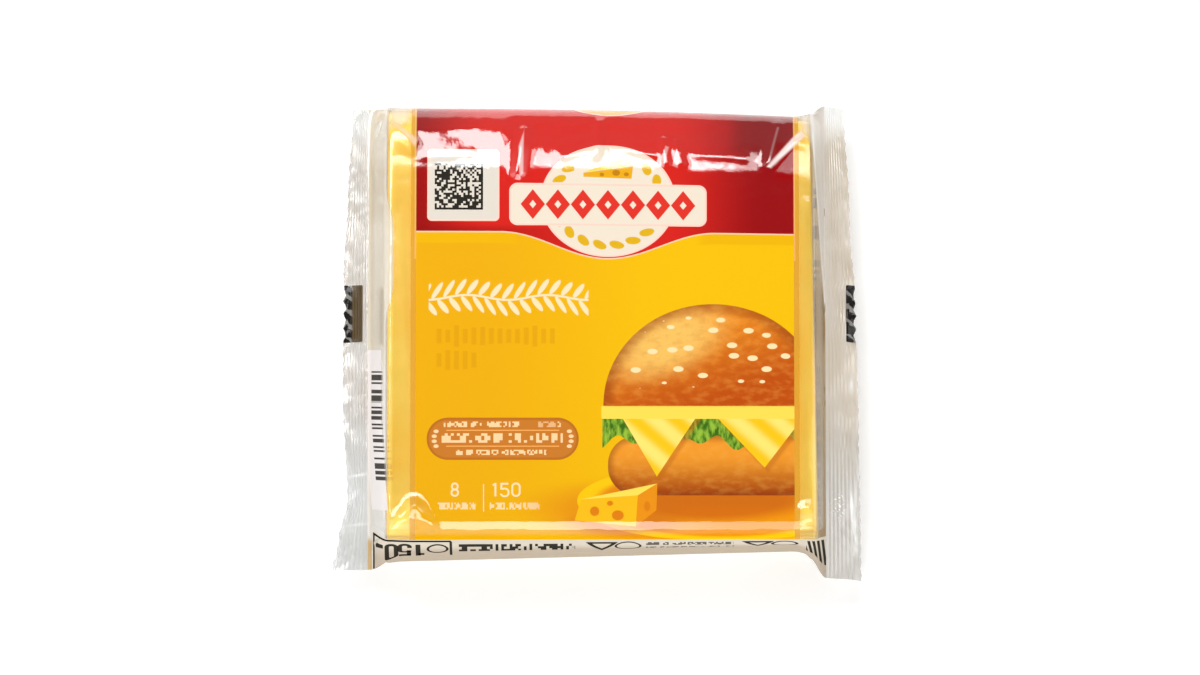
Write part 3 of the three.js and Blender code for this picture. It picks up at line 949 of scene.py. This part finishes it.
    # The near wall, the milky film and the print's low right part shine less
    near = (v * -1).above(38, 2)
    sheen = 0.5 - (v * -1).above(43.4, 1.2) * 0.5 - near * u.above(14, 28) * 0.25
    sheen = sheen - veil * 0.2 - code_strip * 0.5
    tan = u.between(-47, -46.1, 0.2) * (v * -1).above(47, 2)
    ink.lay(TAN, tan)
    solid = solid.do("MAXIMUM", tan * 0.8)
    sheen = (sheen - ink.box((35.8, 33.4), (3, 4), 0.3, soft=1.6) * 0.42).do("MAXIMUM", 0.0)
    # Painted light: the milky film glows a little
    film_shader(ink, ink.paint, solid, ripple_normal(ink, 2.4, 0.05), glow=veil * 0.06, sheen=sheen)
    return material


def back_material():
    """The white back, with paragraphs of grey marks, a ruled table and a barcode."""
    material = new_material("white_back_film")
    ink = Ink(material)
    u, v = ink.u, ink.v
    ink.paint = ink.mix(srgb(232, 228, 220), srgb(222, 214, 202), ink.noise(9).above(0.5, 0.5))
    blocks = (
        ((-39, 17), (35, 20), 12, 61.0), ((0, 17), (36, 20), 12, 63.0), ((-39, -36), (33, 24), 14, 65.0))
    for corner, size, rows_down, seed in blocks:
        ink.lay(INK_GREY, ink.words(corner, size, rows_down, seed, body=0.5, stroke=0.3))
    table_place = ((16, -24.6), (18, 11.4))
    row_height = 3
    lines = abs(((v + 36) / row_height).do("FRACT") - 0.5) * row_height
    table = ink.box(*table_place, 0.1)
    ink.lay(INK_BLACK, ink.inside(1.42 - lines) * table)
    ink.lay(INK_BLACK, ink.outline(ink.box_distance(*table_place, 0.2), 0.3))
    ink.lay(INK_GREY, ink.words((0, -35.7), (30, 24), 8, 67.0, body=0.5, stroke=0.25) * table)
    code_place = ((-45.4, -21), (2.2, 17), 0.2)
    ticks = random_bars(ink, v, 0.42, 71.0, 0.5)
    code = ink.box((-45.0, -20.5), (1.35, 12.5), 0.05)
    ink.lay(srgb(238, 228, 224), ink.box(*code_place))
    ink.lay(INK_GREY, ticks * code)
    ink.lay(INK_GREY, ink.words((40.2, 14), (1.7, 26), 22, 73.0, body=0.6, stroke=0.5) * 0.8)
    ink.lay(INK_GREY, ink.words((40.4, -33), (0.9, 34), 40, 75.0, body=0.6, stroke=0.5) * 0.8)
    white_box = ink.box(*code_place)
    body = ink.inside(abs(u + 1.1) - 43.2, 0.1)
    # Painted shade: the back's near wall is darker where it meets the floor
    near_wall_shade = (v * -1).above(45.5, 2.5)
    ink.lay(srgb(190, 177, 159), near_wall_shade)
    solid = body.do("MAXIMUM", white_box) * 0.94
    film_shader(ink, ink.paint, solid.do("MAXIMUM", 0.3), ripple_normal(ink, 3, 0.05),
                sheen=0.5 - near_wall_shade * 0.5)
    return material


def seal_print(seal, y, sheet):
    """The print place v of a real y on a seal."""
    share = (y - seal.ends[0]) / (seal.ends[1] - seal.ends[0])
    return lerp(sheet.run[0], sheet.run[-1], share)


def seal_material(name, sheet):
    """Clear welded film with a milky bloom, and a dark cutting mark at each edge."""
    material = new_material(name)
    ink = Ink(material)
    u, v = ink.u, ink.v
    low_left, high_left = (seal_print(LEFT_SEAL, y, sheet) for y in (-1.6, 9.9))
    low_right, high_right = (seal_print(RIGHT_SEAL, y, sheet) for y in (-1.3, 10.3))
    left_mark = ink.box((-52.5, (low_left + high_left) / 2), (4.4, (high_left - low_left) / 2), 0.3)
    right_mark = ink.box((49.6, (low_right + high_right) / 2), (2.9, (high_right - low_right) / 2), 0.3)
    mark = left_mark.do("MAXIMUM", right_mark)
    # Painted glints: grey stripes on the crushed part of each dark mark, where its facets catch the light
    facet_glint = (v * FACET_RATE + u * 1.7 + ink.noise(1.3, 3) * 6).do("SINE").above(0.62, 0.5)
    crushed = (u * -1).above(50.2, 0.5).do("MAXIMUM", u.above(46.6, 0.4))
    dark = ink.mix(srgb(84, 68, 42), ink.mix(srgb(28, 25, 22), MARK_GLINT_GREY, facet_glint), crushed)
    bloom = ink.noise(5, 3, stretch=(0.4, 2.2))
    left_milk = ink.mix(srgb(222, 217, 210), srgb(210, 201, 189), bloom.above(0.5, 0.3))
    # Painted light: the right wing's milk is lighter, as that wing tilts away from the main lamp
    right_milk = ink.mix(srgb(240, 229, 213), srgb(230, 216, 195), bloom.above(0.5, 0.3))
    on_right = u.above(0, 1)
    milk = ink.mix(left_milk, right_milk, on_right)
    near_milk = ink.mix(srgb(222, 226, 226), srgb(212, 210, 206), on_right)
    milk = ink.mix(milk, near_milk, (v * -1).above(24, 26) * 0.75)
    top = v.above(46, 9)
    milk = ink.mix(milk, ink.mix(srgb(236, 236, 232), srgb(252, 252, 249), on_right), top)
    # Painted highlights: white streaks and sparkles on the wings' folds
    glint = strongest([
        ink.oval((47.9, -40.2), (0.5, 6.4), 5, 0.5) * 0.8,
        ink.oval((47.7, -11), (0.4, 1.7), 0, 0.5) * 0.6,
        ink.oval((-48.6, -33.1), (1.8, 0.45), 8, 0.6) * 0.7,
        ink.oval((-48.8, -43.9), (2.1, 0.4), 4, 0.5) * 0.6,
        ink.noise(0.5).above(0.6, 0.08) * ink.oval((45.1, -38), (1.6, 3.2), 0, 1.6) * 0.8])
    outer = abs(u + 1.2)
    haze = 0.44 + bloom * 0.16 - outer.above(51.6, 2) * 0.2
    colour = ink.mix(ink.mix(milk, WHITE, glint), dark, mark)
    solid = haze.do("MAXIMUM", glint).do("MAXIMUM", mark * 0.97)
    # Painted light: the wings glow, the right one more, and more again at its far end
    glow = (on_right * 0.05 + top * on_right * 0.08 + MILK_GLOW) * (1 - mark)
    sheen = 0.5 - mark * 0.35
    film_shader(ink, colour, solid, ripple_normal(ink, 1.1, 0.06), SEAL_ROUGHNESS, glow, sheen)
    return material


# Stands for the light that spreads inside the soft cheese
CHEESE_GLOW = 0.48


def cheese_material():
    material = new_material("cheese_yellow")
    tree = material.node_tree
    place = add_node(tree, "ShaderNodeTexCoord").outputs["Object"]
    blotch = add_node(tree, "ShaderNodeTexNoise", {"Scale": 60, "Detail": 4, "Vector": place})
    tone = add_node(tree, "ShaderNodeValToRGB", {"Fac": blotch.outputs["Fac"]})
    tones = ((0.35, srgb(253, 217, 88)), (0.65, srgb(255, 230, 112)))
    for stop, (position, colour) in zip(tone.color_ramp.elements, tones):
        stop.position = position
        stop.color = colour
    fine = add_node(tree, "ShaderNodeTexNoise", {"Scale": 900, "Detail": 3, "Vector": place})
    bump = add_node(tree, "ShaderNodeBump", {"Distance": 0.05 * MM, "Height": fine.outputs["Fac"]})
    yellow = tone.outputs["Color"]
    body = add_node(tree, "ShaderNodeBsdfPrincipled", {
        "Base Color": yellow, "Roughness": 0.42, "Coat Weight": 0.6, "Coat Roughness": 0.12,
        "Subsurface Weight": 0.25, "Subsurface Radius": (1.0, 0.6, 0.2), "Subsurface Scale": 1.5 * MM,
        "Emission Color": yellow, "Emission Strength": CHEESE_GLOW, "Normal": bump.outputs[0]})
    show(tree, body)
    return material


def wrap_material():
    """The milky crimped ends of the thin clear film round each slice."""
    material = new_material("clear_inner_film")
    ink = Ink(material)
    cloud = ink.noise(4, 3, stretch=(0.5, 2))
    left_milk = ink.mix(srgb(240, 232, 214), srgb(218, 204, 178), cloud.above(0.5, 0.3))
    # Painted shade: the right ends are darker, in the shaded gap by the right seal
    right_milk = ink.mix(srgb(226, 212, 186), srgb(200, 180, 148), cloud.above(0.5, 0.3))
    milk = ink.mix(left_milk, right_milk, ink.u.above(0, 1))
    film_shader(ink, milk, cloud * 0.1 + 0.4, ripple_normal(ink, 1.8, 0.06), WRAP_ROUGHNESS, MILK_GLOW)
    return material


# How far a height shows as a shift across the pack, from the photograph's side
LEVEL_SHEAR = 0.268

# The film's sections, and where the solid's frame puts them
FRONT_STEPS = 226
BACK_STEPS = 78
front_line = section(FRONT_PROFILE, FRONT_STEPS, edge_weight)
back_line = section(BACK_PROFILE, BACK_STEPS, np.ones_like)
rows = film_rows()
front_sheet = np.array([film_row(1, front_line, *row) for row in rows])
back_sheet = np.array([film_row(-1, back_line, *row) for row in rows])
solid_low, solid_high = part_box("cheese_pack")
solid_middle = (np.array(solid_low) + np.array(solid_high)) / 2 / MM
film_points = np.vstack([front_sheet.reshape(-1, 3), back_sheet.reshape(-1, 3)])
film_middle = (film_points.min(0) + film_points.max(0)) / 2
SHIFT = np.array([solid_middle[0] - film_middle[0], solid_middle[1] - film_middle[1], 0])


def outer_film():
    """The whole outer wrapper as one closed tube of film, open inside for the stack."""
    front_ids, back_ids = (np.arange(sheet[..., 0].size).reshape(sheet.shape[:2])
                           for sheet in (front_sheet, back_sheet))
    back_ids += front_ids.size
    faces = quads(front_ids) + quads(back_ids, flip=True)
    near = np.stack([back_ids[:, 0], front_ids[:, 0]], 1)
    far = np.stack([front_ids[:, -1], back_ids[:, -1]], 1)
    faces += quads(near) + quads(far)
    right_cap = zip_rows(back_ids[-1], front_ids[-1], back_line.share, front_line.share)
    left_cap = zip_rows(back_ids[0], front_ids[0], back_line.share, front_line.share)
    faces += [tuple(int(i) for i in face) for face in right_cap]
    faces += [tuple(int(i) for i in face[::-1]) for face in left_cap]

    on_seal = np.array([share > 0 for _, _, share in rows])
    row_is_seal = on_seal[:-1] | on_seal[1:]
    front_slots = np.repeat(np.where(row_is_seal, 2, 0), front_sheet.shape[1] - 1)
    back_slots = np.repeat(np.where(row_is_seal, 3, 1), back_sheet.shape[1] - 1)
    side_slots = np.where(row_is_seal, 2, 1)
    caps = np.full(len(right_cap) + len(left_cap), 2)
    slots = np.concatenate([front_slots, back_slots, side_slots, side_slots, caps])
    print_at = np.vstack([
        np.stack([sheet[..., 0], np.tile(line.run, (len(rows), 1))], -1).reshape(-1, 2)
        for sheet, line in ((front_sheet, front_line), (back_sheet, back_line))])
    materials = [front_material(), back_material(), seal_material("clear_seal_front", front_line),
                 seal_material("clear_seal_back", back_line)]
    level_at = np.stack([film_points[:, 0], film_points[:, 1] + LEVEL_SHEAR * film_points[:, 2]], 1)
    places = {"print": print_at, "level": level_at}
    return mesh_object("outer_film", film_points, faces, materials, slots, places, sharp=70)


# The slices: eight squares of cheese, each in its own thin wrap, stacked a little unevenly
SLICES = 8
STACK_LOW = 0.55
STACK_HIGH = 20.45
SLICE_LEFT = -43.3
SLICE_RIGHT = 40.3
SLICE_SKEW = 0.8
SLICE_NEAR = -43.2
SLICE_FAR = 43.3
SLICE_THICKNESS = 2.28
# Half the thickness that a wrap's crimped end has
WRAP_HALF = 0.05


def stack_limits(x, y):
    """How low and how high the contents may reach inside the outer film at a place on its section."""
    close = np.maximum(ramp(-x, -LEFT_SEAL.shoulder, -LEFT_SEAL.start),
                       ramp(x, RIGHT_SEAL.shoulder, RIGHT_SEAL.start))
    level = np.where(x < 0, seal_height(LEFT_SEAL, y, 0), seal_height(RIGHT_SEAL, y, 0))
    low = lerp(np.interp(y, back_line.y, back_line.z), level, close)
    high = lerp(np.interp(y, front_line.y, front_line.z), level, close)
    return np.maximum(STACK_LOW, low + 0.3), np.minimum(STACK_HIGH, high + sag(x, y) - 0.5)


def settle(points):
    """Fits stacked points between the lower and the upper film, and draws them in like the film's walls."""
    x, y, z = points.T
    share = (z - STACK_LOW) / (STACK_HIGH - STACK_LOW)
    low, high = stack_limits(x, y)
    end = rightward(x)
    y = y * np.where(y > 0, 1 - TOP_SIDE_TAPER * end**TAPER_POWER, 1 - WALL_TAPER * end / WALL_REACH)
    return np.stack([x, y, low + share * np.maximum(high - low, 0.1)], 1)


def rounded_ring(half_y, half_z, radius, along, around=4):
    """A rounded rectangle in Y and Z, as offsets that run anticlockwise seen from +X."""
    radius = min(radius, half_z * 0.999, half_y * 0.999)
    flat_y, flat_z = half_y - radius, half_z - radius
    ring = []
    for quarter, (sign_y, sign_z) in enumerate(((1, 1), (-1, 1), (-1, -1), (1, -1))):
        for step in range(around + 1):
            angle = (quarter + step / around) * math.pi / 2
            y = sign_y * flat_y + radius * math.cos(angle)
            ring.append((y, sign_z * flat_z + radius * math.sin(angle)))
        if quarter % 2 == 0:
            start = ring[-1]
            for step in range(1, along):
                ring.append((start[0] - sign_y * 2 * flat_y * step / along, start[1]))
    return np.array(ring)


def lofted(name, rings, material, sharp=50):
    """A closed tube through rings of equal length, filled at both ends."""
    count, size = len(rings), len(rings[0])
    ids = np.arange(count * size).reshape(count, size)
    wrapped = np.hstack([ids, ids[:, :1]])
    faces = quads(wrapped) + [ids[0].tolist()[::-1], ids[-1].tolist()]
    points = np.vstack(rings)
    return mesh_object(name, points, faces, [material], None, {"print": points[:, :2]}, sharp)


def slice_offsets(index):
    draw = np.random.default_rng(40 + index)
    return draw.uniform(-0.2, 0.2), draw.uniform(-0.3, 0.2)


def slice_middle(index):
    pitch = (STACK_HIGH - STACK_LOW) / SLICES
    return STACK_LOW + pitch * (index + 0.5)


def cheese_slice(index, material):
    shift_x, shift_y = slice_offsets(index)
    corner = 0.45
    left, right = SLICE_LEFT + 0.1 + shift_x, SLICE_RIGHT - 0.15 + shift_x
    angles = np.linspace(0.2, math.pi / 2, 4)
    ends = [(corner * (1 - math.cos(a)), corner * (1 - math.sin(a))) for a in angles]
    steps = [(left + dx, inset) for dx, inset in ends]
    steps += [(x, 0) for x in np.linspace(left + 1.2, right - 1.2, 60)]
    steps += [(right - dx, inset) for dx, inset in reversed(ends)]
    rings = []
    for x, inset in steps:
        half_y = (SLICE_FAR - SLICE_NEAR) / 2 - inset
        ring = rounded_ring(half_y, SLICE_THICKNESS / 2 - inset, corner, 60)
        y = ring[:, 0] + (SLICE_FAR + SLICE_NEAR) / 2 + shift_y
        skewed = x - SLICE_SKEW * (x - left) / (right - left) * y / SLICE_FAR
        rings.append(settle(np.stack([skewed, y, ring[:, 1] + slice_middle(index)], 1)))
    return lofted(f"cheese_slice_{index + 1}", rings, material)


def wrap_tail(index, side, material):
    """The crimped end of one slice's own clear wrap, past the end of the slice."""
    ribs, rib_height = 5, 0.05
    shift_x, shift_y = slice_offsets(index)
    draw = np.random.default_rng(70 + index + 20 * side)
    start = (SLICE_LEFT + 0.5 if side < 0 else SLICE_RIGHT - 0.35) + shift_x
    reach = draw.uniform(2.4, 3.2) if side < 0 else draw.uniform(1.4, 2.1)
    half_y = (SLICE_FAR - SLICE_NEAR) / 2 - draw.uniform(0.2, 1.2)
    rings = []
    for along in np.linspace(0, 1, 26):
        ring = rounded_ring(half_y, WRAP_HALF, WRAP_HALF, 90, 1)
        y = ring[:, 0] + (SLICE_FAR + SLICE_NEAR) / 2 + shift_y
        wavy = 0.35 * np.sin(y * 0.33 + index * 2) + 0.2 * np.sin(y * 0.91 + index)
        curl = along * (0.5 * np.sin(y * 0.21 + index * 1.7) + 0.25 * waves(y, y * 0, 5, index + 90))
        rib = rib_height * math.sin(along * math.tau * ribs)
        x = start + side * along * (reach + wavy)
        rings.append(settle(np.stack([x, y, ring[:, 1] + slice_middle(index) + rib + curl], 1)))
    rings = rings if side > 0 else rings[::-1]
    return lofted(f"wrap_tail_{'left' if side < 0 else 'right'}_{index + 1}", rings, material)


def back_fin(material):
    """The film's long edges, sealed together and folded flat under the back."""
    ring = []
    ribs = 14
    for step in range(ribs * 4 + 1):
        y = lerp(FIN_LOW_Y + 0.3, FIN_HIGH_Y - 0.3, step / (ribs * 4))
        ring.append((y, 0.1 + 0.05 * math.cos(step * math.pi / 2)))
    top = [(y, z + 0.16) for y, z in ring[::-1]]
    ring = np.array(ring + top)
    rings = []
    for x in np.linspace(SLICE_LEFT + 1, SLICE_RIGHT - 1, 80):
        lift = 0.03 * np.sin(x * 0.4 + ring[:, 0] * 0.2)
        rings.append(np.stack([np.full(len(ring), x), ring[:, 0], ring[:, 1] + np.abs(lift)], 1))
    return lofted("back_fin", rings, material, sharp=40)


film = outer_film()
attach(film, "root")
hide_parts("cheese_pack")

cheese = cheese_material()
wrap_film = wrap_material()
for number in range(SLICES):
    piece = cheese_slice(number, cheese)
    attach(piece, "root")
    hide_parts("cheese_pack")
    for end in (-1, 1):
        piece = wrap_tail(number, end, wrap_film)
        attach(piece, "root")
        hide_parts("cheese_pack")

fin = back_fin(wrap_film)
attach(fin, "root")
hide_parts("cheese_pack")

# Floor, light and camera
FLOOR_HALF = 1.6


def stage_floor():
    mesh = bpy.data.meshes.new("floor")
    corners = [(-FLOOR_HALF, -FLOOR_HALF, 0), (FLOOR_HALF, -FLOOR_HALF, 0),
               (FLOOR_HALF, FLOOR_HALF, 0), (-FLOOR_HALF, FLOOR_HALF, 0)]
    mesh.from_pydata(corners, [], [(0, 1, 2, 3)])
    material = new_material("pale_floor")
    tree = material.node_tree
    body = add_node(tree, "ShaderNodeBsdfPrincipled", {
        "Base Color": (0.96, 0.96, 0.96, 1), "Roughness": 1, "Specular IOR Level": 0,
        "Emission Color": WHITE, "Emission Strength": 0.2})
    show(tree, body)
    mesh.materials.append(material)
    floor = bpy.data.objects.new("floor", mesh)
    floor.location.z = -0.0002
    bpy.context.scene.collection.objects.link(floor)


def softbox(name, elevation, azimuth, distance, size, strength):
    """An area light aimed at the pack. Elevation is from the floor, azimuth from +Y towards +X; strength is
    its radiance."""
    light = bpy.data.lights.new(name, "AREA")
    light.shape = "RECTANGLE"
    light.size, light.size_y = size
    light.energy = strength * math.pi * size[0] * size[1]
    item = bpy.data.objects.new(name, light)
    up, turn = math.radians(elevation), math.radians(azimuth)
    direction = Vector((math.sin(turn) * math.cos(up), math.cos(turn) * math.cos(up), math.sin(up)))
    item.location = Vector((0, 0, 0.015)) + direction * distance
    item.rotation_euler = (-direction).to_track_quat("-Z", "Y").to_euler()
    item.visible_camera = False
    bpy.context.scene.collection.objects.link(item)


# The room is bright low down, and dark overhead and behind, where the flat front and its top edge mirror it
SKY_LOW = 0.9
SKY_HIGH = 0.04
SKY_BEHIND = 0.25

# Name, elevation, azimuth, distance, size and strength
SOFTBOXES = (
    ("back_softbox", 55, -28, 0.62, (0.42, 0.2), 7.5),
    ("back_right_softbox", 55, 16, 0.62, (0.16, 0.2), 4),
    ("front_softbox", 55, 184, 0.8, (0.6, 0.3), 3.6),
    ("left_softbox", 38, 262, 0.8, (0.5, 0.4), 0.9),
    ("right_softbox", 38, 98, 0.8, (0.5, 0.4), 1.3))


def studio_light():
    for box in SOFTBOXES:
        softbox(*box)
    world = bpy.data.worlds.new("studio")
    world.use_nodes = True
    bpy.context.scene.world = world
    tree = world.node_tree
    tree.nodes.clear()
    seen = add_node(tree, "ShaderNodeLightPath")
    direction = add_node(tree, "ShaderNodeTexCoord")
    parts = add_node(tree, "ShaderNodeSeparateXYZ", {0: direction.outputs["Generated"]})
    shares = []
    falls = (("Z", 0.5, 0.93, SKY_LOW, SKY_HIGH), ("Y", 0.1, 0.7, 1, SKY_BEHIND))
    for axis, low, high, at_low, at_high in falls:
        inputs = {"Value": parts.outputs[axis], "From Min": low, "From Max": high,
                  "To Min": at_low, "To Max": at_high}
        fall = add_node(tree, "ShaderNodeMapRange", inputs, interpolation_type="SMOOTHSTEP")
        shares.append(fall.outputs["Result"])
    level = add_node(tree, "ShaderNodeMath", dict(enumerate(shares)), operation="MULTIPLY")
    sky = add_node(tree, "ShaderNodeBackground", {"Color": WHITE, "Strength": level.outputs[0]})
    pale = add_node(tree, "ShaderNodeBackground", {"Color": WHITE, "Strength": 1})
    inputs = {0: seen.outputs["Is Camera Ray"], 1: sky.outputs[0], 2: pale.outputs[0]}
    both = add_node(tree, "ShaderNodeMixShader", inputs)
    show(tree, both, "ShaderNodeOutputWorld")


# The photograph's frame: 1200 by 675 pixels, 5.12 of them to a millimetre at the pack's front
FRAME_WIDTH_PX = 1200
PX_PER_MM = 5.12
CAMERA_ELEVATION = 75
LENS = 400
SENSOR = 36
AIM = (-1.56, -3.0, 18)


def photo_camera():
    data = bpy.data.cameras.new("camera")
    data.lens = LENS
    data.sensor_width = SENSOR
    data.clip_end = 10
    camera = bpy.data.objects.new("camera", data)
    bpy.context.scene.collection.objects.link(camera)
    up = math.radians(CAMERA_ELEVATION)
    direction = Vector((0, -math.cos(up), math.sin(up)))
    distance = LENS / SENSOR * FRAME_WIDTH_PX / PX_PER_MM * MM
    camera.location = Vector((np.array(AIM) + SHIFT) * MM) + direction * distance
    camera.rotation_euler = (-direction).to_track_quat("-Z", "Y").to_euler()
    bpy.context.scene.camera = camera


stage_floor()
studio_light()
photo_camera()
bpy.context.scene.view_settings.view_transform = "Standard"
